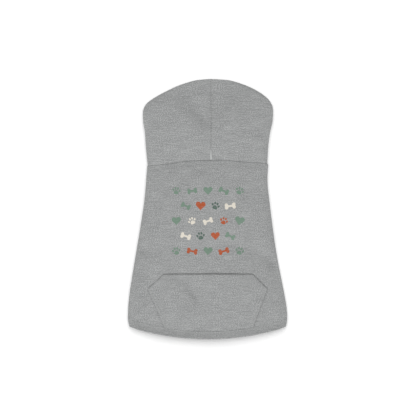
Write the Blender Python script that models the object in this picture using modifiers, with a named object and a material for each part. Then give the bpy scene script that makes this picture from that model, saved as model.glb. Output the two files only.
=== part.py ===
# Dog hoodie in fleece-backed sweatshirt knit, laid flat on its belly side with the back up.
# Metres, hood towards +Y, +Z up. The origin is on the floor below the middle of the outline.

import bisect
import math
from collections import namedtuple

import bmesh
import bpy
from mathutils import Matrix, Vector

# Lengths and widths of the laid garment
BODY_LENGTH = 0.357  # top of the neck seam to the lowest point of the hem
NECK_WIDTH = 0.2408
HEM_WIDTH = 0.3184
HOOD_HEIGHT = 0.162  # top of the neck seam to the peak
HOOD_LEFT_WIDTH = 0.1362  # centre seam to the fullest point of the left side
HOOD_RIGHT_WIDTH = 0.1242
HOOD_SHIFT = 0.007  # the hood's centre seam lies this far right of the body's middle
HOOD_NECK_INSET = 0.001  # the hood meets the neck seam this far inside the body's side folds
NECK_DROP = 0.012  # how far the neck seam falls towards its lower end
HEM_SWEEP = 0.024  # how far the hem rises from the middle to the side folds

# Cloth
WALL = 0.002
HEM_WALL = 0.0032  # the cloth pressed double
HEM_DEPTH = 0.015
HEM_STEP = 0.003  # run over which a doubled edge thins to one layer
SEAM_GAP = 0.0003
SEAM_DIP = 0.001  # how far the cloth turns down into a seam
SEAM_ROLL = 0.006  # width of that turn

# How the garment stands off the floor
BODY_LOFT = 0.030
HOOD_LOFT = 0.027
FOLD_HEIGHT = 0.0068  # height of the widest line of a side fold
FOLD_REACH = 0.008  # how far a fold curls in under itself
CROWN_POWER = 2.3  # 2 is an ellipse, more is flatter on top
NECK_BLEND = 0.3  # share of the hood over which its crown leaves the body's crown

# Underside
SIDE_SEAM_INSET = 0.030  # side fold to the side seam of the belly panel
BELLY_RISE = 0.008  # the belly hem stops this far short of the back hem
FACE_WIDTH = 0.112
FACE_HEIGHT = 0.108
FACE_POWER = 3.0
LEG_HOLE_WIDTH = 0.044
LEG_HOLE_LENGTH = 0.060
LEG_HOLE_SPACING = 0.114
LEG_HOLE_DROP = 0.072  # neck seam to the middle of a leg hole

# Leash slit in the hood's centre seam, just above the neck seam
SLIT_LENGTH = 0.020
SLIT_WIDTH = 0.0026

# Pocket
POCKET_WIDTH = 0.239
POCKET_TOP = 0.227  # top of the neck seam to the pocket mouth
POCKET_WALL = 0.0016
POCKET_HEM_WALL = 0.0026
POCKET_HEM_DEPTH = 0.008
POCKET_GAP = 0.0004
POCKET_SLACK = 0.0022  # how far the mouth stands off the back

# How fine the sheets are
CROWN_FACES = 26
FOLD_FACES = 3
FLAP_FACES = 2
BODY_ROWS_OF_FACES = 20
BELLY_FACES = 10
HOOD_FACES = 12
POCKET_FACES = 14
POCKET_SIDE_FACES = 4
LEG_HOLE_SIDES = 28
EDGE_CROWDING = 0.6  # 0 spaces the lines of points evenly, 1 crowds them into the folds

# The body from the neck seam (0) to the hem (1). left and right say how far each side has
# flared from the neck's half width (0) to the hem's (1), height is a share of BODY_LOFT.
BodyRow = namedtuple("BodyRow", "along left right height")
BODY_TABLE = [
    BodyRow(0.00, 0.000, 0.030, 0.62),
    BodyRow(0.04, 0.030, 0.000, 0.74),
    BodyRow(0.10, 0.065, -0.015, 0.86),
    BodyRow(0.21, 0.145, 0.070, 0.96),
    BodyRow(0.31, 0.265, 0.170, 1.00),
    BodyRow(0.41, 0.395, 0.280, 1.00),
    BodyRow(0.51, 0.535, 0.400, 0.98),
    BodyRow(0.61, 0.675, 0.540, 0.95),
    BodyRow(0.71, 0.810, 0.705, 0.90),
    BodyRow(0.81, 0.930, 0.870, 0.82),
    BodyRow(0.90, 0.990, 0.985, 0.70),
    BodyRow(0.95, 1.000, 1.000, 0.61),
    BodyRow(1.00, 0.930, 0.945, 0.52),
]

# The neck seam over the back, from the left fold (-1) to the right (1). drop is a share of
# NECK_DROP.
NeckRow = namedtuple("NeckRow", "across drop")
NECK_TABLE = [
    NeckRow(-1.00, 1.00),
    NeckRow(-0.64, 0.60),
    NeckRow(-0.34, 0.18),
    NeckRow(0.00, 0.05),
    NeckRow(0.24, 0.00),
    NeckRow(0.58, 0.27),
    NeckRow(0.83, 0.45),
    NeckRow(1.00, 0.68),
]

# The hood's outline: its sides from the neck seam up to the corner, then its top from there
# to the peak. The out columns are shares of each side's width, the up columns shares of the
# rise from neck seam to peak.
HoodRow = namedtuple("HoodRow", "left_out left_up right_out right_up")
HOOD_SIDE_TABLE = [
    HoodRow(0.928, 0.000, 0.900, 0.000),
    HoodRow(0.955, 0.207, 0.920, 0.188),
    HoodRow(0.972, 0.391, 0.952, 0.376),
    HoodRow(0.998, 0.530, 0.988, 0.490),
    HoodRow(1.000, 0.610, 1.000, 0.600),
    HoodRow(0.985, 0.667, 0.993, 0.672),
    HoodRow(0.950, 0.713, 0.962, 0.722),
]
HOOD_TOP_TABLE = [
    HoodRow(0.880, 0.759, 0.920, 0.764),
    HoodRow(0.676, 0.851, 0.774, 0.847),
    HoodRow(0.420, 0.940, 0.500, 0.941),
    HoodRow(0.180, 0.989, 0.255, 0.988),
    HoodRow(0.000, 1.000, 0.000, 1.000),
]

# The hood's crown from the neck seam (0) to the top (1). height is a share of HOOD_LOFT.
HoodRise = namedtuple("HoodRise", "along height")
HOOD_RISES = [
    HoodRise(0.00, 0.69),
    HoodRise(0.12, 0.82),
    HoodRise(0.30, 0.95),
    HoodRise(0.55, 1.00),
    HoodRise(1.00, 0.96),
]

# The pocket from its mouth (0) over its corners to the hem stitching (1). left and right are
# shares of half its width, slack a share of POCKET_SLACK.
PocketRow = namedtuple("PocketRow", "along left right slack")
POCKET_TABLE = [
    PocketRow(0.00, 0.735, 0.755, 1.00),
    PocketRow(0.29, 0.995, 1.000, 0.75),
    PocketRow(1.00, 0.720, 0.765, 0.00),
]

# Soft dents in the laid cloth. across is a share of half the hem width, along a share of the
# body's length below the neck seam, negative on the hood. The reaches are lengths of the
# dent's slopes, turn its angle in degrees from +X, depth how deep it is.
Dent = namedtuple("Dent", "across along reach_long reach_short turn depth")
DENTS = [
    Dent(-0.05, -0.245, 0.030, 0.016, -58, 0.0032),
    Dent(0.17, -0.395, 0.030, 0.018, 20, 0.0020),
    Dent(0.20, -0.270, 0.022, 0.016, 60, 0.0014),
    Dent(-0.52, -0.110, 0.040, 0.018, 15, 0.0012),
    Dent(0.66, 0.570, 0.036, 0.020, -35, 0.0022),
    Dent(-0.14, 0.760, 0.044, 0.022, -55, 0.0024),
    Dent(0.84, 0.780, 0.030, 0.016, -70, 0.0016),
    Dent(-0.60, 0.240, 0.045, 0.024, 30, 0.0014),
    Dent(0.45, 0.150, 0.045, 0.024, -25, 0.0014),
]

NECK_Y = (BODY_LENGTH - HOOD_HEIGHT) / 2
HEM_Y = NECK_Y - BODY_LENGTH
PEAK_Y = NECK_Y + HOOD_HEIGHT

FLEECE_COLOURS = {
    "hood_left": (0.335, 0.340, 0.340, 1.0),
    "hood_right": (0.335, 0.340, 0.340, 1.0),
    "back_panel": (0.345, 0.350, 0.350, 1.0),
    "belly_panel": (0.300, 0.305, 0.305, 1.0),
    "pocket": (0.340, 0.345, 0.345, 1.0),
}


def mix(low, high, share):
    return low + (high - low) * share


def smooth_value(positions, values, at):
    # A smooth curve through the values that never swings past them
    last = len(positions) - 1
    at = min(max(at, positions[0]), positions[last])
    piece = min(bisect.bisect_right(positions, at), last) - 1

    def secant(k):
        return (values[k + 1] - values[k]) / (positions[k + 1] - positions[k])

    def slope(k):
        if k == 0:
            return secant(0)
        if k == last:
            return secant(last - 1)
        before, after = secant(k - 1), secant(k)
        if before * after <= 0:
            return 0.0
        return 2 * before * after / (before + after)

    span = positions[piece + 1] - positions[piece]
    t = (at - positions[piece]) / span
    return (
        values[piece] * (1 + 2 * t) * (1 - t) ** 2
        + values[piece + 1] * t * t * (3 - 2 * t)
        + slope(piece) * span * t * (1 - t) ** 2
        - slope(piece + 1) * span * t * t * (1 - t)
    )


def table_value(rows, key, name, at):
    return smooth_value(
        [getattr(row, key) for row in rows], [getattr(row, name) for row in rows], at
    )


def crown(across):
    # Height of a laid sheet between its folds, 1 in the middle and 0 at the fold
    share = min(abs(across), 1.0)
    return (1 - share**CROWN_POWER) ** (1 / CROWN_POWER)


def dent_depth(x, y):
    depth = 0.0
    for dent in DENTS:
        middle_x = dent.across * HEM_WIDTH / 2
        middle_y = NECK_Y - dent.along * BODY_LENGTH
        turn = math.radians(dent.turn)
        long_way = (x - middle_x) * math.cos(turn) + (y - middle_y) * math.sin(turn)
        short_way = (y - middle_y) * math.cos(turn) - (x - middle_x) * math.sin(turn)
        spread = (long_way / dent.reach_long) ** 2 + (short_way / dent.reach_short) ** 2
        depth += dent.depth * math.exp(-spread)
    return depth


def seam_turn(distance):
    # How far the cloth has turned down this near to a seam
    near = max(0.0, 1 - distance / SEAM_ROLL)
    return SEAM_DIP * near * near


# The body's sheet: along runs from the neck seam (0) to the hem (1), across from the left
# fold (-1) to the right fold (1)


def body_half_width(along, across):
    side = "left" if across < 0 else "right"
    return mix(NECK_WIDTH, HEM_WIDTH, table_value(BODY_TABLE, "along", side, along)) / 2


def neck_y(across):
    return NECK_Y - NECK_DROP * table_value(NECK_TABLE, "across", "drop", across)


def neck_y_below(across):
    # On the underside the neck seam runs straight between the two folds
    return mix(neck_y(-1.0), neck_y(1.0), (across + 1) / 2)


def hem_y(across):
    return HEM_Y + HEM_SWEEP * across * across


def back_y(along, across):
    return mix(neck_y(across), hem_y(across), along)


def back_height(along, across):
    x = across * body_half_width(along, across)
    y = back_y(along, across)
    rise = BODY_LOFT * table_value(BODY_TABLE, "along", "height", along) - FOLD_HEIGHT
    sinks = dent_depth(x, y) + seam_turn(neck_y(across) - y)
    return FOLD_HEIGHT + rise * crown(across) - sinks * crown(across) ** 2


def back_height_at(x, y):
    along = (NECK_Y - y) / BODY_LENGTH
    across = 0.0
    for _ in range(12):
        across = x / body_half_width(along, x)
        along = (neck_y(across) - y) / (neck_y(across) - hem_y(across))
    return back_height(along, across)


def fold_under(distance):
    # Height of the cloth this far in from the widest line of a fold, on the way under
    if distance >= FOLD_REACH:
        return 0.0
    level = 1 - distance / FOLD_REACH
    return FOLD_HEIGHT * (1 - math.sqrt(1 - level * level))


def fold_steps(total):
    # Distances in from the widest line of a fold to the end of the flap below
    turns = range(1, FOLD_FACES + 1)
    steps = [FOLD_REACH * (1 - math.cos(math.pi / 2 * k / FOLD_FACES)) for k in turns]
    for k in range(1, FLAP_FACES + 1):
        steps.append(mix(FOLD_REACH, total, k / FLAP_FACES))
    return steps


def crowded(even):
    # Moves an even share, -1 to 1, towards the folds at -1 and 1
    return mix(even, math.sin(math.pi / 2 * even), EDGE_CROWDING)


def body_columns():
    # One entry for each line of points from the left side seam, over the top, to the right
    # one: across, and the distance in under the fold
    columns = []
    under = fold_steps(SIDE_SEAM_INSET)
    for distance in reversed(under):
        columns.append((-1.0, distance))
    for k in range(CROWN_FACES + 1):
        columns.append((crowded(2 * k / CROWN_FACES - 1), 0.0))
    for distance in under:
        columns.append((1.0, distance))
    return columns


def body_rows():
    # Shares from the hem up to the neck seam, with lines at the ends of the doubled hem and
    # of the roll into the neck seam
    hem_share = HEM_DEPTH / BODY_LENGTH
    step_share = (HEM_DEPTH + HEM_STEP) / BODY_LENGTH
    roll_share = SEAM_ROLL / BODY_LENGTH
    rows = [1.0, 1 - hem_share]
    for k in range(BODY_ROWS_OF_FACES + 1):
        rows.append(mix(1 - step_share, roll_share, k / BODY_ROWS_OF_FACES))
    rows.append(roll_share / 2)
    rows.append(0.0)
    return rows


def sheet_grid(bm, x_faces, y_faces, place, doubled=None):
    # A grid of faces, each point put at place(column, row). doubled says which points carry
    # the cloth double.
    layer = bm.verts.layers.deform.verify()
    made = bmesh.ops.create_grid(bm, x_segments=x_faces, y_segments=y_faces, size=1.0)
    for vert in made["verts"]:
        column = round((vert.co.x + 1) / 2 * x_faces)
        row = round((vert.co.y + 1) / 2 * y_faces)
        vert.co = place(column, row)
        if doubled and doubled(column, row):
            vert[layer][0] = 1.0


def fleece(name):
    material = bpy.data.materials.new(name + "_fleece")
    material.use_nodes = True
    shader = material.node_tree.nodes["Principled BSDF"]
    shader.inputs["Base Color"].default_value = FLEECE_COLOURS[name]
    shader.inputs["Roughness"].default_value = 0.95
    shader.inputs["Metallic"].default_value = 0.0
    return material


def cloth_object(name, bm, collection, single, double, side=-1.0):
    # An open sheet given its wall by Solidify, thicker where the cloth is doubled. side -1
    # puts the wall below the sheet, 1 above it.
    bmesh.ops.remove_doubles(bm, verts=bm.verts, dist=1e-6)
    mesh = bpy.data.meshes.new(name)
    bm.to_mesh(mesh)
    bm.free()
    piece = bpy.data.objects.new(name, mesh)
    collection.objects.link(piece)
    piece.vertex_groups.new(name="doubled")
    wall = piece.modifiers.new("wall", "SOLIDIFY")
    wall.thickness = double
    wall.offset = side
    wall.use_even_offset = True
    wall.vertex_group = "doubled"
    wall.thickness_vertex_group = single / double
    mesh.shade_smooth()
    mesh.materials.append(fleece(name))
    return piece


def make_back_panel(collection):
    columns, rows = body_columns(), body_rows()

    def place(column, row):
        across, distance = columns[column]
        along = rows[row]
        if distance == 0.0:
            x = across * body_half_width(along, across)
            y = back_y(along, across)
            return Vector((x, y, back_height(along, across)))
        x = across * (body_half_width(along, across) - distance)
        inner = x / body_half_width(along, across)
        y = mix(neck_y_below(inner), hem_y(inner), along)
        return Vector((x, y, fold_under(distance)))

    bm = bmesh.new()
    sheet_grid(bm, len(columns) - 1, len(rows) - 1, place, lambda column, row: row <= 1)
    return cloth_object("back_panel", bm, collection, WALL, HEM_WALL)


def make_belly_panel(collection, cutters):
    rows = body_rows()
    rows[0] = 1 - BELLY_RISE / BODY_LENGTH

    def place(column, row):
        along = rows[row]
        share = 2 * column / BELLY_FACES - 1
        half = body_half_width(along, share)
        x = share * (half - SIDE_SEAM_INSET - SEAM_GAP)
        across = x / half
        return Vector((x, mix(neck_y_below(across), hem_y(across), along), 0.0))

    bm = bmesh.new()
    sheet_grid(bm, BELLY_FACES, len(rows) - 1, place, lambda column, row: row <= 1)
    panel = cloth_object("belly_panel", bm, collection, WALL, HEM_WALL, side=1.0)
    for side in (-1.0, 1.0):
        across = side * LEG_HOLE_SPACING / NECK_WIDTH
        cut = panel.modifiers.new("leg_hole", "BOOLEAN")
        cut.operation = "DIFFERENCE"
        cut.solver = "EXACT"
        cut.object = leg_hole_cutter(
            side * LEG_HOLE_SPACING / 2, neck_y_below(across) - LEG_HOLE_DROP, cutters
        )
    return panel


def leg_hole_cutter(x, y, cutters):
    bm = bmesh.new()
    bmesh.ops.create_cone(
        bm,
        cap_ends=True,
        segments=LEG_HOLE_SIDES,
        radius1=LEG_HOLE_WIDTH / 2,
        radius2=LEG_HOLE_WIDTH / 2,
        depth=WALL * 4,
    )
    stretch = Matrix.Diagonal((1.0, LEG_HOLE_LENGTH / LEG_HOLE_WIDTH, 1.0, 1.0))
    bmesh.ops.transform(bm, matrix=stretch, verts=bm.verts)
    mesh = bpy.data.meshes.new("leg_hole_cutter")
    bm.to_mesh(mesh)
    bm.free()
    cutter = bpy.data.objects.new("leg_hole_cutter", mesh)
    cutter.location = (x, y, WALL / 2)
    cutter.hide_render = True
    cutter.display_type = "WIRE"
    cutters.objects.link(cutter)
    return cutter


class HoodHalf:
    # One hood panel: side is -1 for the left, 1 for the right. The outline is followed by
    # the share of its length, from the neck seam (0) to the peak (1).

    def __init__(self, side):
        self.side = side
        self.width = HOOD_LEFT_WIDTH if side < 0 else HOOD_RIGHT_WIDTH
        word = "left" if side < 0 else "right"
        foot = neck_y(side) + SEAM_GAP
        self.outline = []
        for row in HOOD_SIDE_TABLE + HOOD_TOP_TABLE:
            out = getattr(row, word + "_out") * self.width
            rise = getattr(row, word + "_up")
            self.outline.append(Vector((HOOD_SHIFT + side * out, mix(foot, PEAK_Y, rise))))
        self.outline[0].x = side * (NECK_WIDTH / 2 - HOOD_NECK_INSET)
        self.shares = [0.0]
        for before, after in zip(self.outline, self.outline[1:]):
            self.shares.append(self.shares[-1] + (after - before).length)
        self.shares = [share / self.shares[-1] for share in self.shares]
        self.corner = self.shares[len(HOOD_SIDE_TABLE) - 1]

    def outline_at(self, share):
        x = smooth_value(self.shares, [point.x for point in self.outline], share)
        y = smooth_value(self.shares, [point.y for point in self.outline], share)
        return Vector((x, y))

    def seam_x(self, y):
        # The edge at the centre seam, standing back where the leash slit is open
        up = (y - neck_y(0.0)) / SLIT_LENGTH
        open_share = math.sqrt(max(0.0, 1 - up**4)) if up > 0 else 1.0
        return HOOD_SHIFT + self.side * mix(SEAM_GAP, SLIT_WIDTH, open_share) / 2

    def side_edge(self, up):
        return self.outline_at(mix(0.0, self.corner, up))

    def top_edge(self, out):
        return self.outline_at(mix(1.0, self.corner, out))

    def neck_edge(self, out):
        x = mix(HOOD_SHIFT, self.side_edge(0.0).x, out)
        return Vector((x, neck_y(x / (NECK_WIDTH / 2)) + SEAM_GAP))

    def centre_edge(self, up):
        return Vector((HOOD_SHIFT, mix(self.neck_edge(0.0).y, PEAK_Y, up)))

    def crown_point(self, out, up):
        # A point of the upper sheet, between the four edges of its panel
        low, high = self.neck_edge(out), self.top_edge(out)
        near, far = self.centre_edge(up), self.side_edge(up)
        corners = (
            self.neck_edge(0.0) * (1 - out) * (1 - up)
            + self.neck_edge(1.0) * out * (1 - up)
            + self.top_edge(0.0) * (1 - out) * up
            + self.top_edge(1.0) * out * up
        )
        plan = low * (1 - up) + high * up + near * (1 - out) + far * out - corners
        return Vector((*plan, self.height(plan, out, up)))

    def height(self, plan, out, up):
        blend = min(1.0, up / NECK_BLEND)
        blend = blend * blend * (3 - 2 * blend)
        across = 1.0 if out == 1.0 else mix(abs(plan.x) / (NECK_WIDTH / 2), out, blend)
        shape = crown(across) * crown(up)
        rise = HOOD_LOFT * table_value(HOOD_RISES, "along", "height", up) - FOLD_HEIGHT
        seams = seam_turn(abs(plan.x - HOOD_SHIFT)) + seam_turn(
            plan.y - neck_y(plan.x / (NECK_WIDTH / 2)) - SEAM_GAP
        )
        sinks = dent_depth(plan.x, plan.y) + min(seams, SEAM_DIP)
        return FOLD_HEIGHT + rise * shape - sinks * min(1.0, 2 * shape)

    def face_edge(self, turn):
        # The face opening's edge on the underside, from the neck seam (0) to the forehead (1)
        angle = math.pi / 2 * turn
        across = math.cos(angle) ** (2 / FACE_POWER) if turn < 1 else 0.0
        up = math.sin(angle) ** (2 / FACE_POWER) if turn > 0 else 0.0
        x = HOOD_SHIFT + self.side * FACE_WIDTH / 2 * across
        foot = neck_y_below(x / (NECK_WIDTH / 2)) + SEAM_GAP
        return Vector((x, foot + FACE_HEIGHT * up))

    def flap_point(self, edge, inner, step):
        # A point of the underside on the way from a fold to the hemmed face opening
        reach = (inner - edge).length
        steps = [0.0] + fold_steps(reach - HEM_DEPTH - HEM_STEP)
        distance = (steps + [reach - HEM_DEPTH, reach])[step]
        plan = edge.lerp(inner, distance / reach)
        return Vector((*plan, fold_under(distance)))


def make_hood(name, side, collection):
    half = HoodHalf(side)
    outs = hood_shares(SEAM_ROLL / half.width)
    ups = hood_shares(SEAM_ROLL / HOOD_HEIGHT)
    last_out, last_up = len(outs) - 1, len(ups) - 1
    last_step = FOLD_FACES + FLAP_FACES + 2

    def out_of(column):
        return outs[column] if side > 0 else outs[last_out - column]

    def at_seam(point, out):
        if out == 0.0:
            slit = point.z > FOLD_HEIGHT
            point.x = half.seam_x(point.y) if slit else HOOD_SHIFT + side * SEAM_GAP / 2
        return point

    def upper(column, row):
        out = out_of(column)
        return at_seam(half.crown_point(out, ups[row]), out)

    def side_flap(column, row):
        up = ups[row]
        step = column if side > 0 else last_step - column
        return half.flap_point(half.side_edge(up), half.face_edge(up / 2), step)

    def side_hem(column, row):
        return (column if side > 0 else last_step - column) >= last_step - 1

    def top_flap(column, row):
        out = out_of(column)
        return at_seam(half.flap_point(half.top_edge(out), half.face_edge(1 - out / 2), row), out)

    def top_hem(column, row):
        return row >= last_step - 1

    bm = bmesh.new()
    sheet_grid(bm, last_out, last_up, upper)
    sheet_grid(bm, last_step, last_up, side_flap, side_hem)
    sheet_grid(bm, last_out, last_step, top_flap, top_hem)
    return cloth_object(name, bm, collection, WALL, HEM_WALL)


def hood_shares(roll):
    # Shares from a seam (0) to the folded edge (1), close together where the cloth turns
    shares = [0.0, roll / 2]
    for k in range(HOOD_FACES + 1):
        shares.append(mix(roll, 1.0, crowded(k / HOOD_FACES)))
    return shares


def make_pocket(collection):
    mouth_y = NECK_Y - POCKET_TOP
    mouth, widest, foot = POCKET_TABLE
    corner = widest.along
    length = mouth_y - HEM_Y - HEM_DEPTH
    hem_share = POCKET_HEM_DEPTH / length
    alongs = [mix(1.0, corner, k / POCKET_SIDE_FACES) for k in range(POCKET_SIDE_FACES + 1)]
    alongs += [(corner + hem_share) / 2, hem_share, 0.0]

    def edge(along, side):
        above, below = (mouth, widest) if along <= corner else (widest, foot)
        share = (along - above.along) / (below.along - above.along)
        return mix(getattr(above, side), getattr(below, side), share) * POCKET_WIDTH / 2

    def place(column, row):
        along = alongs[row]
        even = 2 * column / POCKET_FACES - 1
        x = even * edge(along, "left" if even < 0 else "right")
        foot_y = hem_y(x / (HEM_WIDTH / 2)) + HEM_DEPTH + SEAM_GAP
        y = mix(mouth_y, foot_y, along)
        slack = POCKET_SLACK * table_value(POCKET_TABLE, "along", "slack", along)
        lift = POCKET_GAP + slack * crown(even)
        return Vector((x, y, back_height_at(x, y) + lift))

    bm = bmesh.new()
    last = len(alongs) - 1
    sheet_grid(bm, POCKET_FACES, last, place, lambda column, row: row >= last - 1)
    return cloth_object("pocket", bm, collection, POCKET_WALL, POCKET_HEM_WALL, side=1.0)


def main():
    for leftover in list(bpy.data.objects):
        bpy.data.objects.remove(leftover, do_unlink=True)
    collection = bpy.data.collections.new("dog_hoodie")
    cutters = bpy.data.collections.new("cutters")
    bpy.context.scene.collection.children.link(collection)
    bpy.context.scene.collection.children.link(cutters)
    make_hood("hood_left", -1.0, collection)
    make_hood("hood_right", 1.0, collection)
    make_back_panel(collection)
    make_belly_panel(collection, cutters)
    make_pocket(collection)


main()
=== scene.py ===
import math
import random

import bmesh
import bpy
import numpy as np
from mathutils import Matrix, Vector, noise
from mathutils.bvhtree import BVHTree


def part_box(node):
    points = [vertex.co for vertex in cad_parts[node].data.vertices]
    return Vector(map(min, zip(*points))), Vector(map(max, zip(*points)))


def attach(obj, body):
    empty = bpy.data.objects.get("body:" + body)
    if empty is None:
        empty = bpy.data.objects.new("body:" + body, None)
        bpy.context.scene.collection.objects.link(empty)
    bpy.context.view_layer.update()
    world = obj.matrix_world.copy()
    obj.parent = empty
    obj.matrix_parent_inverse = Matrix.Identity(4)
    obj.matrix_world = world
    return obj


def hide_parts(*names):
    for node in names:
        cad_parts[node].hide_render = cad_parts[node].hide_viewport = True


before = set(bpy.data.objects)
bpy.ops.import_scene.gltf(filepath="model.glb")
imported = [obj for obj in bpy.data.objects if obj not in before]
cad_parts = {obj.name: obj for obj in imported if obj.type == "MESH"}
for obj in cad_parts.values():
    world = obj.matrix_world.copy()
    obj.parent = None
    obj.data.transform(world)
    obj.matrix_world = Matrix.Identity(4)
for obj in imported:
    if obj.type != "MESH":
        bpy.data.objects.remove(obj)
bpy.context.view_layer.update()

# The garment lies on its belly side, hood towards +Y, back up. Every place below follows
# from the CAD boxes and the sizes in the dictionaries, all in metres.

bodyLow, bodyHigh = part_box("back_panel")
hoodLow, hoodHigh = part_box("hood_left")
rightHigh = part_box("hood_right")[1]

bodyLong = bodyHigh[1] - bodyLow[1]
garment = {
    "neckY": bodyHigh[1],  # top of the neck seam
    "hemY": bodyLow[1],  # lowest point of the hem
    "peakY": hoodHigh[1],
    "neckWidth": 0.2408,
    "hemWidth": bodyHigh[0] - bodyLow[0],
    "hoodSeamX": 0.007,  # the hood's centre seam lies right of the middle
    "hoodNeckInset": 0.001,
    "neckDrop": 0.012,
    "hemSweep": 0.024,
    "wall": 0.002,
    "hemWall": 0.0032,
    "hemDepth": 0.015,
    "hemStep": 0.002,  # run over which a doubled edge thins to one layer
    "seamGap": 0.0001,
    "neckTurn": 0.12,  # share of a seam's dip that the neck seam shows
    "bodyLoft": bodyHigh[2],
    "hoodLoft": 0.027,
    "foldHeight": 0.0068,  # widest line of a side fold
    "foldReach": 0.008,  # how far a fold curls in under itself
    "crownPower": 2.3,  # 2 is an ellipse, more is flatter on top
    "neckBlend": 0.3,
    "sideSeamInset": 0.030,
    "bellyRise": 0.008,
    "crowding": 0.6,  # how far faces crowd towards the folds
    "endRun": 0.022,  # stretch of small faces at the neck seam and the hem
}

# From the neck seam (0) to the hem (1): flare of each side and height of the crown
bodyTable = {
    "along": [0.00, 0.04, 0.10, 0.21, 0.31, 0.41, 0.51, 0.61, 0.71, 0.81, 0.90, 0.95, 1.00],
    "left": [0.0, 0.03, 0.065, 0.145, 0.265, 0.395, 0.535, 0.675, 0.81, 0.93, 0.99, 1.0, 0.93],
    "right": [0.03, 0.0, -0.015, 0.07, 0.17, 0.28, 0.4, 0.54, 0.705, 0.87, 0.985, 1.0, 0.945],
    "height": [0.62, 0.74, 0.86, 0.96, 1.0, 1.0, 0.98, 0.95, 0.9, 0.82, 0.7, 0.61, 0.52],
}
neckTable = {
    "across": [-1.0, -0.64, -0.34, 0.0, 0.24, 0.58, 0.83, 1.0],
    "drop": [1.0, 0.6, 0.18, 0.05, 0.0, 0.27, 0.45, 0.68],
}
# The hood's outline from the neck seam over its corner to the peak
hoodTable = {
    "leftOut": [0.928, 0.955, 0.972, 0.998, 1.0, 0.985, 0.95, 0.88, 0.676, 0.42, 0.18, 0.0],
    "leftUp": [0.0, 0.207, 0.391, 0.53, 0.61, 0.667, 0.713, 0.759, 0.851, 0.94, 0.989, 1.0],
    "rightOut": [0.9, 0.92, 0.952, 0.988, 1.0, 0.993, 0.962, 0.92, 0.774, 0.5, 0.255, 0.0],
    "rightUp": [0.0, 0.188, 0.376, 0.49, 0.6, 0.672, 0.722, 0.764, 0.847, 0.941, 0.988, 1.0],
    "cornerRow": 6,
}
hoodRises = {
    "along": [0.0, 0.12, 0.3, 0.55, 1.0],
    "height": [0.69, 0.82, 0.95, 1.0, 0.95],
    "keep": 0.8,  # dents take at most this share of the crown's own rise
}

# Soft dents and then shallow creases: across as a share of half the hem width, along as a share
# of the body's length below the neck seam, both reaches, the turn in degrees and the depth
dents = [
    (-0.05, -0.245, 0.030, 0.016, -58, 0.0032),
    (0.17, -0.395, 0.030, 0.018, 20, 0.0020),
    (0.20, -0.270, 0.022, 0.016, 60, 0.0014),
    (-0.52, -0.110, 0.040, 0.018, 15, 0.0012),
    (0.66, 0.570, 0.036, 0.020, -35, 0.0022),
    (-0.14, 0.760, 0.044, 0.022, -55, 0.0024),
    (0.84, 0.780, 0.030, 0.016, -70, 0.0016),
    (-0.60, 0.240, 0.045, 0.024, 30, 0.0014),
    (0.45, 0.150, 0.045, 0.024, -25, 0.0014),
    (-0.76, 0.505, 0.034, 0.012, 4, 0.0040),
    (-0.10, 0.480, 0.060, 0.013, 0, 0.0028),
    (0.44, 0.490, 0.042, 0.012, -16, 0.0034),
    (0.80, 0.560, 0.036, 0.014, -40, 0.0062),
    (0.95, 0.700, 0.040, 0.015, -66, 0.0058),
    (-0.15, 0.745, 0.032, 0.012, -58, 0.0064),
    (-0.30, 0.680, 0.024, 0.011, -30, 0.0020),
    (0.15, 0.690, 0.022, 0.008, 35, 0.0007),
    (-0.62, 0.860, 0.024, 0.008, 70, 0.0010),
    (0.52, 0.900, 0.024, 0.008, -75, 0.0010),
    (-0.36, 0.120, 0.030, 0.009, 25, 0.0009),
    (0.30, 0.085, 0.034, 0.009, -12, 0.0009),
    (-0.06, -0.258, 0.020, 0.010, -46, 0.0054),
    (-0.20, -0.345, 0.030, 0.014, -30, 0.0022),
    (0.25, -0.350, 0.030, 0.014, 30, 0.0016),
    (0.50, -0.165, 0.026, 0.010, 20, 0.0014),
    (-0.45, -0.120, 0.034, 0.010, 10, 0.0010),
]


def mix(low, high, share):
    return low + (high - low) * share


def smoothValue(positions, values, at):
    last = len(positions) - 1
    at = min(max(at, positions[0]), positions[last])
    piece = 0
    while piece < last - 1 and at > positions[piece + 1]:
        piece += 1

    def secant(k):
        return (values[k + 1] - values[k]) / (positions[k + 1] - positions[k])

    def slope(k):
        if k == 0 or k == last:
            return secant(min(k, last - 1))
        before, after = secant(k - 1), secant(k)
        return 2 * before * after / (before + after) if before * after > 0 else 0.0

    span = positions[piece + 1] - positions[piece]
    t = (at - positions[piece]) / span
    return (
        values[piece] * (1 + 2 * t) * (1 - t) ** 2
        + values[piece + 1] * t * t * (3 - 2 * t)
        + slope(piece) * span * t * (1 - t) ** 2
        - slope(piece + 1) * span * t * t * (1 - t)
    )


def crown(across):
    power = garment["crownPower"]
    return (1 - min(abs(across), 1.0) ** power) ** (1 / power)


def crowded(even):
    return mix(even, math.sin(math.pi / 2 * even), garment["crowding"])


def smoothStep(share):
    share = min(max(share, 0.0), 1.0)
    return share * share * (3 - 2 * share)


def dentDepth(x, y):
    depth = 0.0
    for across, along, longReach, shortReach, degrees, deep in dents:
        dx = x - across * garment["hemWidth"] / 2
        dy = y - garment["neckY"] + along * bodyLong
        turn = math.radians(degrees)
        longWay = (dx * math.cos(turn) + dy * math.sin(turn)) / longReach
        shortWay = (dy * math.cos(turn) - dx * math.sin(turn)) / shortReach
        depth += deep * math.exp(-longWay * longWay - shortWay * shortWay)
    return depth


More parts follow.
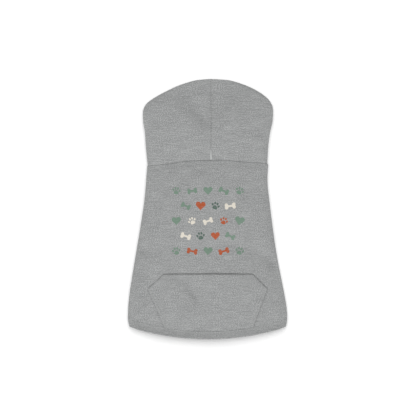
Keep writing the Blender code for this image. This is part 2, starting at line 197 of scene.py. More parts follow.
# Above two lines that meet on the centre seam, the hood's crown gives way a little
hollow = {
    "x": 0.004,
    "y": 0.153,
    "riseLeft": 0.88,
    "riseRight": 1.15,
    "deep": 0.0098,
    "shareRight": 0.58,
    "blend": 0.02,  # width over which one side passes into the other
    "soft": 0.00004,  # rounds the meeting of the lines, in square metres
    "reach": 0.0145,
    "slackDeep": 0.0024,
    "slackReach": 0.036,
    "peakDeep": 0.0085,  # and over its middle it sinks towards the peak
    "peakFrom": 0.182,
    "peakLong": 0.078,
    "peakWide": 0.050,
}


def crownHollow(x, y):
    across = x - hollow["x"]
    right = smoothStep(across / hollow["blend"] + 0.5)
    rise = mix(hollow["riseLeft"], hollow["riseRight"], right)
    inside = y - hollow["y"] - rise * math.sqrt(across * across + hollow["soft"])
    inside /= math.hypot(1, rise)
    inside = 0.5 * (inside + math.sqrt(inside * inside + hollow["soft"]))
    fall = hollow["deep"] * (1 - math.exp(-inside / hollow["reach"]))
    fall *= mix(1.0, hollow["shareRight"], right)
    fall += hollow["slackDeep"] * (1 - math.exp(-inside / hollow["slackReach"]))
    middle = math.exp(-((across / hollow["peakWide"]) ** 2))
    towardsPeak = smoothStep((y - hollow["peakFrom"]) / hollow["peakLong"])
    return fall + hollow["peakDeep"] * middle * towardsPeak


def bodyHalfWidth(along, across):
    side = "left" if across < 0 else "right"
    flare = smoothValue(bodyTable["along"], bodyTable[side], along)
    return mix(garment["neckWidth"], garment["hemWidth"], flare) / 2


def neckY(across):
    drop = smoothValue(neckTable["across"], neckTable["drop"], across)
    return garment["neckY"] - garment["neckDrop"] * drop


def neckYBelow(across):
    return mix(neckY(-1.0), neckY(1.0), (across + 1) / 2)


def hemY(across):
    return garment["hemY"] + garment["hemSweep"] * across * across


def backY(along, across):
    return mix(neckY(across), hemY(across), along)


def underY(along, across):
    return mix(neckYBelow(across), hemY(across), along)


def neckX(x):
    return x / (garment["neckWidth"] / 2)


# Fine relief of the laid cloth: what a seam, a stitched line or a slack stretch does to it
relief = {
    "seamDip": 0.0008,  # how far the cloth turns down into a seam
    "seamRoll": 0.0045,
    "stitchDip": 0.00055,  # how far a row of stitches pulls the cloth in
    "stitchReach": 0.0014,
    "puckerHigh": 0.00030,
    "puckerLong": 0.0095,  # one ripple to the next along a seam
    "puckerReach": 0.011,
    "waveHigh": 0.0014,  # slow unevenness of cloth laid by hand
    "waveLong": 0.062,
    "ridgeHigh": 0.0005,  # cloth pushed up along the edge of a turned hem
    "ridgeReach": 0.0013,
    "ridgeIn": 0.0004,
    "peakDip": 0.0030,  # the hood's two halves sink towards the seam at the peak
    "peakReach": 0.017,
    "peakLong": 0.066,
    "hemRaise": 0.0013,  # the turned hem stands above the single cloth
    "raiseIn": 0.0008,
    "raiseRun": 0.0012,
    "hemRoll": -0.0054,  # and lifts a little towards its edge
    "calmReach": 0.03,  # the slow unevenness dies out this near the neck seam
}
neckStitchDrop = 0.0072  # topstitch below the neck seam
hemStitches = [0.0137, 0.0108]  # twin needle rows above the hem's edge


def seamTurn(distance):
    near = max(0.0, 1 - distance / relief["seamRoll"])
    return relief["seamDip"] * near * near


def stitchPull(distance):
    return relief["stitchDip"] * math.exp(-((distance / relief["stitchReach"]) ** 2))


def hemRelief(fromEdge, hem):
    ridge = math.exp(-(((fromEdge - hem + relief["ridgeIn"]) / relief["ridgeReach"]) ** 2))
    raised = 1 - smoothStep((fromEdge - hem + relief["raiseIn"]) / relief["raiseRun"])
    roll = max(0.0, 1 - fromEdge / hem)
    sink = relief["hemRoll"] * roll * math.sqrt(roll) - relief["hemRaise"] * raised
    stitched = sum(stitchPull(fromEdge - row) for row in hemStitches)
    return sink - relief["ridgeHigh"] * ridge + stitched


def pucker(distance, alongSeam, seed):
    # Ripples square to a seam, which die away from it and never repeat quite alike
    fade = math.exp(-abs(distance) / relief["puckerReach"])
    place = Vector((alongSeam / relief["puckerLong"], seed, distance / 0.02))
    return relief["puckerHigh"] * fade * noise.noise(place) * 2


def slowWave(x, y, seed):
    place = Vector((x / relief["waveLong"], y / relief["waveLong"], seed))
    return relief["waveHigh"] * (noise.noise(place) + 0.5 * noise.noise(place * 2.3))


pocketSizes = {
    "width": 0.239,
    "top": 0.2282,
    "wall": 0.0012,
    "hemWall": 0.0018,
    "hemDepth": 0.0082,
    "gap": 0.0004,
    "slack": 0.0022,
    "along": [0.0, 0.29, 1.0],
    "left": [0.735, 0.995, 0.72],
    "right": [0.755, 1.0, 0.765],
    "slackShares": [1.0, 0.75, 0.0],
    "edgeStitch": 0.0022,
    "innerStitch": 0.0095,
    "press": 0.0014,  # how far the sewn edge sinks into the back
    "pressReach": 0.0015,
    "upperPress": 0.45,  # less so along the slanting upper edges
    "lowerLean": 0.36,
    "openReach": 0.022,
    "mouthSink": 0.0003,
    "mouthReach": 0.0018,
    "mouthRoll": 0.0018,
    "mouthStands": (0.52, 0.82),  # shares of its half width between which the mouth lies down
    "columns": 96,
    "above": 22,
    "below": 46,
}
mouthY = garment["neckY"] - pocketSizes["top"]
slit = {
    "length": 0.020,
    "width": 0.0026,
    "archHalf": 0.0130,
    "archHeight": 0.0315,
}


def pocketPress(x, y):
    # The back gives way under the pocket's sewn edges and sags behind its open mouth
    foot = hemY(x / (garment["hemWidth"] / 2)) + garment["hemDepth"]
    along = (mouthY - y) / (mouthY - foot)
    if along < -0.1:
        return 0.0
    side = "left" if x < 0 else "right"
    shares, values = pocketSizes["along"], pocketSizes[side]
    edge = float(np.interp(along, shares, values)) * pocketSizes["width"] / 2
    slope = (values[1] - values[0]) / shares[1] if along < shares[1] else pocketSizes["lowerLean"]
    slope *= pocketSizes["width"] / 2 / (mouthY - foot)
    fromSide = (abs(x) - edge) / math.hypot(1, slope)
    sink = 0.0
    if 0 <= along <= 1:
        press = pocketSizes["press"] * (pocketSizes["upperPress"] if along < shares[1] else 1.0)
        sink += press * math.exp(-((fromSide / pocketSizes["pressReach"]) ** 2))
    sag = smoothStep((edge - abs(x)) / pocketSizes["openReach"])
    mouth = math.exp(-(((mouthY - y) / pocketSizes["mouthReach"]) ** 2))
    return sink + mouth * pocketSizes["mouthSink"] * sag


def backHeight(along, across, press=True):
    x = across * bodyHalfWidth(along, across)
    y = backY(along, across)
    rise = garment["bodyLoft"] * smoothValue(bodyTable["along"], bodyTable["height"], along)
    rise -= garment["foldHeight"]
    fromNeck = neckY(across) - y
    fromHem = y - hemY(across)
    sinks = dentDepth(x, y) + garment["neckTurn"] * seamTurn(fromNeck)
    sinks += stitchPull(fromNeck - neckStitchDrop)
    sinks += hemRelief(fromHem, garment["hemDepth"])
    sinks += pucker(fromNeck, x, 1.0) + pucker(fromHem - hemStitches[0], x, 2.0)
    sinks += slowWave(x, y, 3.0) * smoothStep(fromNeck / relief["calmReach"])
    sinks += pocketPress(x, y) if press else 0.0
    return garment["foldHeight"] + rise * crown(across) - sinks * min(1.0, 2 * crown(across))


def backHeightAt(x, y):
    # The height under the pocket, where a place is known by its plan alone
    along = (garment["neckY"] - y) / bodyLong
    across = 0.0
    for _ in range(8):
        across = x / bodyHalfWidth(along, x)
        along = (neckY(across) - y) / (neckY(across) - hemY(across))
    return backHeight(along, across, press=False)


def foldUnder(distance):
    if distance >= garment["foldReach"]:
        return 0.0
    level = 1 - distance / garment["foldReach"]
    return garment["foldHeight"] * (1 - math.sqrt(1 - level * level))


def foldSteps(total, turns, flats):
    reach = garment["foldReach"]
    steps = [reach * (1 - math.cos(math.pi / 2 * k / turns)) for k in range(1, turns + 1)]
    return steps + [mix(reach, total, k / flats) for k in range(1, flats + 1)]


# Tools shared by all the pieces


def selectNone():
    bpy.ops.object.select_all(action="DESELECT")


def selectOnly(*objects):
    selectNone()
    for obj in objects:
        obj.select_set(True)
    bpy.context.view_layer.objects.active = objects[0]


def applyAll(obj):
    selectOnly(obj)
    for modifier in list(obj.modifiers):
        bpy.ops.object.modifier_apply(modifier=modifier.name)


def sheetPatch(name, xFaces, yFaces, place, doubled=None, lengths=None):
    # A grid primitive whose points are laid out by place(column, row). Its UVs are metres
    # along the cloth itself, or what lengths gives for a point of a nearly flat patch.
    # doubled gives the share of each point that is turned up.
    selectNone()
    bpy.ops.mesh.primitive_grid_add(x_subdivisions=xFaces, y_subdivisions=yFaces, size=2.0)
    patch = bpy.context.object
    patch.name = name
    mesh = patch.data
    laid = np.zeros((yFaces + 1, xFaces + 1, 3))
    at = []
    weights = []
    for vert in mesh.vertices:
        column = round((vert.co.x + 1) / 2 * xFaces)
        row = round((vert.co.y + 1) / 2 * yFaces)
        vert.co = place(column, row)
        laid[row, column] = vert.co
        at.append((row, column))
        weights.append(doubled(column, row) if doubled else 0.0)
    steps = [np.linalg.norm(np.diff(laid, axis=axis), axis=2) for axis in (0, 1)]
    along, across = (np.insert(np.cumsum(steps[k], axis=k), 0, 0.0, axis=k) for k in (0, 1))
    middle = int(np.argmin(np.abs(laid[0, :, 0] - garment["hoodSeamX"])))
    across = across - across[:, middle : middle + 1] + laid[:, middle : middle + 1, 0]
    along = along + laid[0:1, :, 1]
    layer = mesh.uv_layers[0] if mesh.uv_layers else mesh.uv_layers.new(name="cloth")
    layer.name = "cloth"
    for loop in mesh.loops:
        row, column = at[loop.vertex_index]
        cloth = (across[row, column], along[row, column])
        layer.data[loop.index].uv = lengths(laid[row, column]) if lengths else cloth
    group = patch.vertex_groups.new(name="doubled")
    for index, weight in enumerate(weights):
        if weight > 0:
            group.add([index], weight, "REPLACE")
    return patch


def clothFrom(patches, name, sizes, side, materials):
    # Joined patches become cloth: a face outside, a brushed face inside, a cut or turned edge
    selectOnly(*patches)
    if len(patches) > 1:
        bpy.ops.object.join()
    piece = patches[0]
    piece.name = name
    piece.data.name = name
    bpy.ops.object.mode_set(mode="EDIT")
    bpy.ops.mesh.select_all(action="SELECT")
    bpy.ops.mesh.remove_doubles(threshold=0.000002)
    bpy.ops.object.mode_set(mode="OBJECT")
    wall = piece.modifiers.new("wall", "SOLIDIFY")
    wall.thickness = sizes["hemWall"]
    wall.offset = side
    wall.vertex_group = "doubled"
    wall.thickness_vertex_group = sizes["wall"] / sizes["hemWall"]
    wall.material_offset = 1
    wall.material_offset_rim = 0
    piece.data.materials.clear()
    for material in materials:
        piece.data.materials.append(material)
    applyAll(piece)
    bpy.ops.object.shade_smooth()
    return piece


def pieceFrom(mesh, materials):
    piece = bpy.data.objects.new(mesh.name, mesh)
    bpy.context.scene.collection.objects.link(piece)
    for material in materials:
        mesh.materials.append(material)
    return piece


def threadPiece(name, points, faces, material):
    mesh = bpy.data.meshes.new(name)
    mesh.from_pydata(points, [], faces)
    mesh.update()
    piece = pieceFrom(mesh, [material])
    selectOnly(piece)
    bpy.ops.object.shade_smooth()
    return piece


# Materials. Colours are sRGB hex values.


def hexColour(code):
    parts = [int(code[k : k + 2], 16) / 255 for k in (1, 3, 5)]
    linear = [p / 12.92 if p <= 0.04045 else ((p + 0.055) / 1.055) ** 2.4 for p in parts]
    return (*linear, 1.0)


def addNode(material, kind, settings=None, links=None):
    # Adds a node. A setting goes to a socket of that name or number, or else to the node
    # itself, stops go to its colour ramp, and a link gives an input another node's output.
    tree = material.node_tree
    node = tree.nodes.new(kind)
    for name, value in (settings or {}).items():
        if name == "stops":
            elements = node.color_ramp.elements
            while len(elements) < len(value):
                elements.new(0.5)
            for element, (position, colour) in zip(elements, value):
                element.position, element.color = position, colour
        elif isinstance(name, int) or name in node.inputs:
            node.inputs[name].default_value = value
        else:
            setattr(node, name, value)
    for name, source in (links or {}).items():
        tree.links.new(source, node.inputs[name])
    return node


def newMaterial(name, **values):
    material = bpy.data.materials.new(name)
    material.use_nodes = True
    shader = material.node_tree.nodes["Principled BSDF"]
    for socket, value in values.items():
        shader.inputs[socket.replace("_", " ")].default_value = value
    return material, shader


def finish(material, shader, colour, height, strength, distance):
    settings = {"Strength": strength, "Distance": distance}
    bump = addNode(material, "ShaderNodeBump", settings, {"Height": height})
    material.node_tree.links.new(colour, shader.inputs["Base Color"])
    material.node_tree.links.new(bump.outputs[0], shader.inputs["Normal"])
    return material


knit = {
    "face": ["#565858", "#8b8c8c", "#c2c4c3"],  # dark, mean and pale fibres
    "inside": ["#868787", "#939494", "#a0a1a1"],
    # Millimetres along and across the courses, detail, roughness, seed and weight
    "streak": (30.0, 1.3, 1.0, 0.6, 3.0, 0.40),
    "dash": (8.0, 1.0, 1.0, 0.6, 17.0, 0.30),
    "fleck": (2.1, 1.4, 1.0, 0.6, 11.0, 1.12),
    "slow": (30.0, 16.0, 2.0, 0.5, 23.0, 0.12),
    "nap": (0.9, 0.7, 2.0, 0.6, 31.0, 0.0),  # in its height alone
    "wale": 2.7,  # millimetres between columns of stitches, drawn coarse so that they show
    "course": 2.2,
}


def heatherKnit(name, hexes, contrast=1.0):
    # Cotton and polyester sweatshirt knit, spun from dyed and undyed fibres: matt, with
    # short streaks along the courses and fine dark and pale flecks
    material, shader = newMaterial(
        name, Roughness=0.92, Sheen_Weight=0.18, Sheen_Roughness=0.55, Specular_IOR_Level=0.18
    )
    uv = addNode(material, "ShaderNodeUVMap", {"uv_map": "cloth"}).outputs[0]
    fibres = nap = None
    for key in ("streak", "dash", "fleck", "slow", "nap"):
        longWay, shortWay, detail, roughness, seed, weight = knit[key]
        settings = {"Scale": (1000 / longWay, 1000 / shortWay, 1.0)}
        settings["Location"] = (seed, seed * 1.7, 0)
        place = addNode(material, "ShaderNodeMapping", settings, {"Vector": uv}).outputs[0]
        settings = {"Scale": 1.0, "Detail": detail, "Roughness": roughness}
        source = addNode(material, "ShaderNodeTexNoise", settings, {"Vector": place}).outputs[0]
        share = weight * contrast
        if key == "nap":
            nap = source
        elif fibres is None:
            settings = {"operation": "MULTIPLY_ADD", 1: share, 2: 0.5 - share / 2}
            fibres = addNode(material, "ShaderNodeMath", settings, {0: source}).outputs[0]
        else:  # each further noise swings about its middle
            settings = {"operation": "SUBTRACT", 1: 0.5}
            swing = addNode(material, "ShaderNodeMath", settings, {0: source}).outputs[0]
            settings = {"operation": "MULTIPLY_ADD", 1: share}
            links = {0: swing, 2: fibres}
            fibres = addNode(material, "ShaderNodeMath", settings, links).outputs[0]
    stops = list(zip((0.0, 0.5, 1.0), [hexColour(code) for code in hexes]))
    colour = addNode(material, "ShaderNodeValToRGB", {"stops": stops}, {0: fibres}).outputs[0]

    # The knit itself: columns of stitches crossed by courses, under a soft nap
    ribs = []
    for key, axis in (("wale", "X"), ("course", "Y")):
        settings = {"wave_type": "BANDS", "bands_direction": axis, "Distortion": 1.2}
        settings.update({"Scale": math.pi * 100 / knit[key], "Detail": 1.0, "Detail Scale": 1.5})
        ribs.append(addNode(material, "ShaderNodeTexWave", settings, {"Vector": uv}).outputs[1])
    links = {0: ribs[0], 1: ribs[1]}
    loops = addNode(material, "ShaderNodeMath", {"operation": "MULTIPLY"}, links).outputs[0]
    settings = {"operation": "MULTIPLY_ADD", 1: 0.5}
    height = addNode(material, "ShaderNodeMath", settings, {0: loops, 2: nap}).outputs[0]
    return finish(material, shader, colour, height, 0.55, 0.00035)


def grainyMaterial(name, scale, stops, distance, **values):
    # A fine grain on the piece's own coordinates, in its colour and in its height
    material, shader = newMaterial(name, **values)
    place = addNode(material, "ShaderNodeTexCoord").outputs["Object"]
    place = addNode(material, "ShaderNodeMapping", {"Scale": scale}, {"Vector": place}).outputs[0]
    settings = {"Scale": 1.0, "Detail": 2.0}
    grain = addNode(material, "ShaderNodeTexNoise", settings, {"Vector": place}).outputs[0]
    colour = addNode(material, "ShaderNodeValToRGB", {"stops": stops}, {0: grain}).outputs[0]
    return finish(material, shader, colour, grain, 0.4, distance)


def threadMaterial(name, code):
    # Spun polyester sewing thread, 0.7 mm as sewn, plied: a slight gloss along its twist
    base = hexColour(code)
    stops = [(0.35, (*(c * 0.82 for c in base[:3]), 1.0)), (0.65, base)]
    gloss = {"Roughness": 0.62, "Sheen_Weight": 0.15, "Specular_IOR_Level": 0.35}
    return grainyMaterial(name, (1800.0, 1800.0, 1800.0), stops, 0.0001, **gloss)


fleeceFace = heatherKnit("sweatshirtKnitFace", knit["face"])
fleeceInside = heatherKnit("brushedFleeceInside", knit["inside"], 0.7)
greyThread = threadMaterial("greyPolyesterThread", "#a2a4a3")
paleThread = threadMaterial("palePolyesterThread", "#c4c6c5")


# The back panel: one sheet from side seam to side seam over the top

backPanel = {"crownFaces": 150, "foldFaces": 8, "flapFaces": 8, "rows": 130}


def backColumns():
    under = foldSteps(garment["sideSeamInset"], backPanel["foldFaces"], backPanel["flapFaces"])
    count = backPanel["crownFaces"]
    columns = [(-1.0, distance) for distance in reversed(under)]
    columns += [(crowded(2 * k / count - 1), 0.0) for k in range(count + 1)]
    return columns + [(1.0, distance) for distance in under]


def bodyRows(count):
    # Shares from the hem up to the neck seam, closer at both ends
    fine = garment["endRun"] / bodyLong
    rows = [1 - fine * k / 16 for k in range(16)]
    rows += [mix(1 - fine, fine, k / count) for k in range(count)]
    return rows + [fine * (1 - k / 12) for k in range(13)]


def hemWeight(fromHem):
    return 1 - smoothStep((fromHem - garment["hemDepth"]) / garment["hemStep"])


def makeBackPanel():
    columns, rows = backColumns(), bodyRows(backPanel["rows"])

    def place(column, row):
        across, distance = columns[column]
        along = rows[row]
        half = bodyHalfWidth(along, across)
        if distance == 0.0:
            return Vector((across * half, backY(along, across), backHeight(along, across)))
        x = across * (half - distance)
        return Vector((x, underY(along, x / half), foldUnder(distance)))

    def doubled(column, row):
        across, _ = columns[column]
        return hemWeight((1 - rows[row]) * (neckY(across) - hemY(across)))

    patch = sheetPatch("backPanel", len(columns) - 1, len(rows) - 1, place, doubled)
    return clothFrom([patch], "backPanelCloth", garment, -1.0, [fleeceFace, fleeceInside])


backCloth = makeBackPanel()
print("back panel laid")


# The hood: two sheets that meet in the centre seam and fold under to the face opening

hoodSizes = {
    "faceWidth": 0.112,
    "faceHeight": 0.108,
    "facePower": 3.0,
    "faces": 64,
    "seamFaces": 8,
    "seamRun": 0.006,  # stretch of small faces beside the centre seam
    "neckRun": 0.010,
    "foldFaces": 8,
    "flapFaces": 8,
    "hemFaces": 8,
    "leftWidth": garment["hoodSeamX"] - hoodLow[0],
    "rightWidth": rightHigh[0] - garment["hoodSeamX"],
}


def hoodOutline(side):
    word = "left" if side < 0 else "right"
    width = hoodSizes[word + "Width"]
    foot = neckY(side) + garment["seamGap"]
    points = []
    for out, up in zip(hoodTable[word + "Out"], hoodTable[word + "Up"]):
        x = garment["hoodSeamX"] + side * out * width
        points.append(Vector((x, mix(foot, garment["peakY"], up))))
    points[0].x = side * (garment["neckWidth"] / 2 - garment["hoodNeckInset"])
    shares = [0.0]
    for before, after in zip(points, points[1:]):
        shares.append(shares[-1] + (after - before).length)
    shares = [share / shares[-1] for share in shares]
    xs, ys = [point.x for point in points], [point.y for point in points]

    def at(share):
        return Vector((smoothValue(shares, xs, share), smoothValue(shares, ys, share)))

    return at, shares[hoodTable["cornerRow"]]


def hoodShares(roll):
    fine = hoodSizes["seamFaces"]
    count = hoodSizes["faces"]
    shares = [roll * k / fine for k in range(fine)]
    return shares + [mix(roll, 1.0, crowded(k / count)) for k in range(count + 1)]


def hoodHeight(plan, out, up):
    blend = smoothStep(up / garment["neckBlend"])
    across = 1.0 if out == 1.0 else mix(abs(neckX(plan.x)), out, blend)
    shape = crown(across) * crown(up)
    edgeShare = min(1.0, 2 * shape)
    rise = garment["hoodLoft"] * smoothValue(hoodRises["along"], hoodRises["height"], up)
    rise -= garment["foldHeight"]
    fromSeam = abs(plan.x - garment["hoodSeamX"])
    fromNeck = plan.y - neckY(neckX(plan.x)) - garment["seamGap"]
    neckTurn = garment["neckTurn"] * seamTurn(fromNeck)
    seams = min(seamTurn(fromSeam) + neckTurn, relief["seamDip"] * 1.2) * edgeShare
    seed = 7.0 if plan.x > garment["hoodSeamX"] else 6.0
    sinks = dentDepth(plan.x, plan.y) + slitArch(plan.x, plan.y) + crownHollow(plan.x, plan.y)
    sinks += pucker(fromNeck, plan.x, 1.0) + pucker(fromSeam, plan.y, seed)
    sinks += slowWave(plan.x, plan.y, 8.0) * smoothStep(fromNeck / relief["calmReach"])
    fromPeak = max(0.0, 1 - (garment["peakY"] - plan.y) / relief["peakLong"])
    near = math.exp(-1.6 * fromSeam / relief["peakReach"])
    sinks += relief["peakDip"] * near * smoothStep(fromPeak * 1.6)
    sinks *= edgeShare
    if sinks > 0:
        limit = hoodRises["keep"] * rise * shape + 0.0002
        sinks = limit * (1 - math.exp(-sinks / limit))
    return garment["foldHeight"] + rise * shape - sinks - seams


def slitArch(x, y):
    # The facing's stitches round the leash slit draw the cloth in
    foot = neckY(0.0)
    half, top = slit["archHalf"], foot + slit["archHeight"]
    dx, dy = abs(x - garment["hoodSeamX"]), y - (top - half)
    distance = math.hypot(dx, dy) - half if dy > 0 else dx - half
    return stitchPull(distance)


def facePoint(side, turn, inset=0.0):
    # On the face opening's edge, or outside it, from its side (0) to its top (1)
    angle = math.pi / 2 * turn
    power = 2 / hoodSizes["facePower"]
    across = math.cos(angle) ** power if turn < 1 else 0.0
    up = math.sin(angle) ** power if turn > 0 else 0.0
    x = garment["hoodSeamX"] + side * (hoodSizes["faceWidth"] / 2 + inset) * across
    return x, neckYBelow(neckX(x)) + garment["seamGap"] + (hoodSizes["faceHeight"] + inset) * up


def makeHood(name, side):
    outline, corner = hoodOutline(side)
    outs = hoodShares(hoodSizes["seamRun"] / hoodSizes["leftWidth"])
    ups = hoodShares(hoodSizes["neckRun"] / (garment["peakY"] - garment["neckY"]))
    lastOut, lastUp = len(outs) - 1, len(ups) - 1
    seamX, gap = garment["hoodSeamX"], garment["seamGap"]
    hemDepth, hemStep = garment["hemDepth"], garment["hemStep"]
    foldFaces, flapFaces = hoodSizes["foldFaces"], hoodSizes["flapFaces"]
    hemFaces = hoodSizes["hemFaces"]
    lastStep = foldFaces + flapFaces + hemFaces

    def sideEdge(up):
        return outline(mix(0.0, corner, up))

    def topEdge(out):
        return outline(mix(1.0, corner, out))

    def neckEdge(out):
        x = mix(seamX, sideEdge(0.0).x, out)
        return Vector((x, neckY(neckX(x)) + gap))

    def crownPoint(out, up):
        centre = Vector((seamX, mix(neckEdge(0.0).y, garment["peakY"], up)))
        corners = neckEdge(0.0) * (1 - out) * (1 - up) + neckEdge(1.0) * out * (1 - up)
        corners += topEdge(0.0) * (1 - out) * up + topEdge(1.0) * out * up
        plan = neckEdge(out) * (1 - up) + topEdge(out) * up
        plan += centre * (1 - out) + sideEdge(up) * out - corners
        return Vector((*plan, hoodHeight(plan, out, up)))

    def flapPoint(edge, inner, step):
        inner = Vector(inner)
        reach = (inner - edge).length
        steps = [0.0] + foldSteps(reach - hemDepth - hemStep, foldFaces, flapFaces)
        steps += [reach - mix(hemDepth, 0.0, k / (hemFaces - 1)) for k in range(hemFaces)]
        distance = steps[step]
        plan = edge.lerp(inner, distance / reach)
        z = foldUnder(distance)
        fromEdge = reach - distance
        z += 0.5 * (stitchPull(fromEdge - hemStitches[0]) + stitchPull(fromEdge - hemStitches[1]))
        return Vector((*plan, z))

    def atSeam(point, out):
        if out == 0.0:
            up = (point.y - neckY(0.0)) / slit["length"]
            parted = math.sqrt(max(0.0, 1 - up**4)) if 0 < up < 1 else float(up <= 0)
            if point.z <= garment["foldHeight"]:
                parted = 0.0
            point.x = seamX + side * mix(gap, slit["width"], parted) / 2
        return point

    def outOf(column):
        return outs[column] if side > 0 else outs[lastOut - column]

    def upper(column, row):
        out = outOf(column)
        return atSeam(crownPoint(out, ups[row]), out)

    def sideFlap(column, row):
        step = column if side > 0 else lastStep - column
        return flapPoint(sideEdge(ups[row]), facePoint(side, ups[row] / 2), step)

    def topFlap(column, row):
        out = outOf(column)
        return atSeam(flapPoint(topEdge(out), facePoint(side, 1 - out / 2), row), out)

    def sideHem(column, row):
        step = column if side > 0 else lastStep - column
        return 1.0 if step >= lastStep - hemFaces + 1 else 0.0

    def topHem(column, row):
        return 1.0 if row >= lastStep - hemFaces + 1 else 0.0

    def sideLengths(point):
        return -side * point[0] - point[2], point[1]

    def topLengths(point):
        return point[0], -point[1] - point[2]

    patches = [
        sheetPatch(name + "Upper", lastOut, lastUp, upper),
        sheetPatch(name + "Side", lastStep, lastUp, sideFlap, sideHem, sideLengths),
        sheetPatch(name + "Top", lastOut, lastStep, topFlap, topHem, topLengths),
    ]
    return clothFrom(patches, name, garment, -1.0, [fleeceFace, fleeceInside])


hoodLeftCloth = makeHood("hoodLeftCloth", -1.0)
hoodRightCloth = makeHood("hoodRightCloth", 1.0)
print("hood laid")


# The belly panel lies on the floor, between the side seams, with two leg holes

bellyPanel = {
    "columns": 60,
    "rows": 90,
    "legWidth": 0.044,
    "legLength": 0.060,
    "legSpacing": 0.114,
    "legDrop": 0.072,
    "legStitches": [0.0035, 0.0062],
}


def makeBellyPanel():
    rows = bodyRows(bellyPanel["rows"])
    short = garment["bellyRise"] / bodyLong
    rows = [row * (1 - short) for row in rows]

    def place(column, row):
        share = 2 * column / bellyPanel["columns"] - 1
        along = rows[row]
        half = bodyHalfWidth(along, share)
        x = share * (half - garment["sideSeamInset"] - garment["seamGap"])
        return Vector((x, underY(along, x / half), 0.0))

    def doubled(column, row):
        return hemWeight((1 - short - rows[row]) * bodyLong)

    patch = sheetPatch("belly", bellyPanel["columns"], len(rows) - 1, place, doubled)
    piece = clothFrom([patch], "bellyPanelCloth", garment, 1.0, [fleeceInside, fleeceFace])
    cutters = []
    for side in (-1, 1):
        across = side * bellyPanel["legSpacing"] / garment["neckWidth"]
        y = neckYBelow(across) - bellyPanel["legDrop"]
        selectNone()
        bpy.ops.mesh.primitive_cylinder_add(
            vertices=96,
            radius=bellyPanel["legWidth"] / 2,
            depth=0.012,
            location=(side * bellyPanel["legSpacing"] / 2, y, 0.0),
            scale=(1, bellyPanel["legLength"] / bellyPanel["legWidth"], 1),
        )
        cutters.append(bpy.context.object)
    for cutter in cutters:
        cut = piece.modifiers.new("legHole", "BOOLEAN")
        cut.operation = "DIFFERENCE"
        cut.object = cutter
    applyAll(piece)
    for cutter in cutters:
        bpy.data.objects.remove(cutter)
    return piece


bellyCloth = makeBellyPanel()
print("belly panel laid")


# The pocket: a six-sided patch whose mouth stands a little off the back


def pocketEdge(along, side):
    shares = pocketSizes["along"]
    k = 0 if along <= shares[1] else 1
    share = (along - shares[k]) / (shares[k + 1] - shares[k])
    values = pocketSizes["left" if side < 0 else "right"]
    return mix(values[k], values[k + 1], share) * pocketSizes["width"] / 2


def pocketPlan(even, along):
    x = even * pocketEdge(along, even)
    foot = hemY(x / (garment["hemWidth"] / 2)) + garment["hemDepth"] + garment["seamGap"]
    return x, mix(mouthY, foot, along)


def makePocket():
    columns, rowsAbove, rowsBelow = (pocketSizes[key] for key in ("columns", "above", "below"))
    corner = pocketSizes["along"][1]
    length = mouthY - garment["hemY"] - garment["hemDepth"]
    alongs = [mix(1.0, corner, k / rowsBelow) for k in range(rowsBelow)]
    alongs += [mix(corner, 0.0, k / rowsAbove) for k in range(rowsAbove + 1)]

    def place(column, row):
        along = alongs[row]
        even = 2 * column / columns - 1
        x, y = pocketPlan(even, along)
        slack = smoothValue(pocketSizes["along"], pocketSizes["slackShares"], along)
        lift = pocketSizes["gap"] + slack * pocketSizes["slack"] * crown(even)
        fromSide = (1 - abs(even)) * pocketEdge(along, even)
        fromMouth = along * length
        lift -= stitchPull(fromSide - pocketSizes["edgeStitch"]) * 0.8
        lift -= stitchPull(fromMouth - pocketSizes["hemDepth"]) * 0.8
        lift -= pocketSizes["mouthRoll"] * math.exp(-fromMouth / 0.0016) * crown(even)
        lift += pucker(fromSide, y, 12.0) * 0.6
        return Vector((x, y, backHeightAt(x, y) + max(lift, 0.0001)))

    def doubled(column, row):
        flatFrom, flatTo = pocketSizes["mouthStands"]
        even = abs(2 * column / columns - 1)
        fromHem = alongs[row] * length - pocketSizes["hemDepth"]
        standing = 1 - smoothStep((even - flatFrom) / (flatTo - flatFrom))
        return standing * (1 - smoothStep(fromHem / garment["hemStep"]))

    patch = sheetPatch("pocket", columns, len(alongs) - 1, place, doubled)
    return clothFrom([patch], "pocketCloth", pocketSizes, 1.0, [fleeceFace, fleeceInside])


pocketCloth = makePocket()
print("pocket laid")


# Rows of stitches, sewn onto the finished sheets


def treeOf(piece):
    return BVHTree.FromObject(piece, bpy.context.evaluated_depsgraph_get())


def dropOnto(tree, x, y, fromAbove=True):
    height = 0.2 if fromAbove else -0.2
    toward = Vector((0, 0, -1)) if fromAbove else Vector((0, 0, 1))
    hit, normal, _, _ = tree.ray_cast(Vector((x, y, height)), toward)
    return (hit, normal) if hit else (None, None)


stitchSizes = {"long": 0.0028, "gap": 0.0008, "radius": 0.00034, "sides": 6}


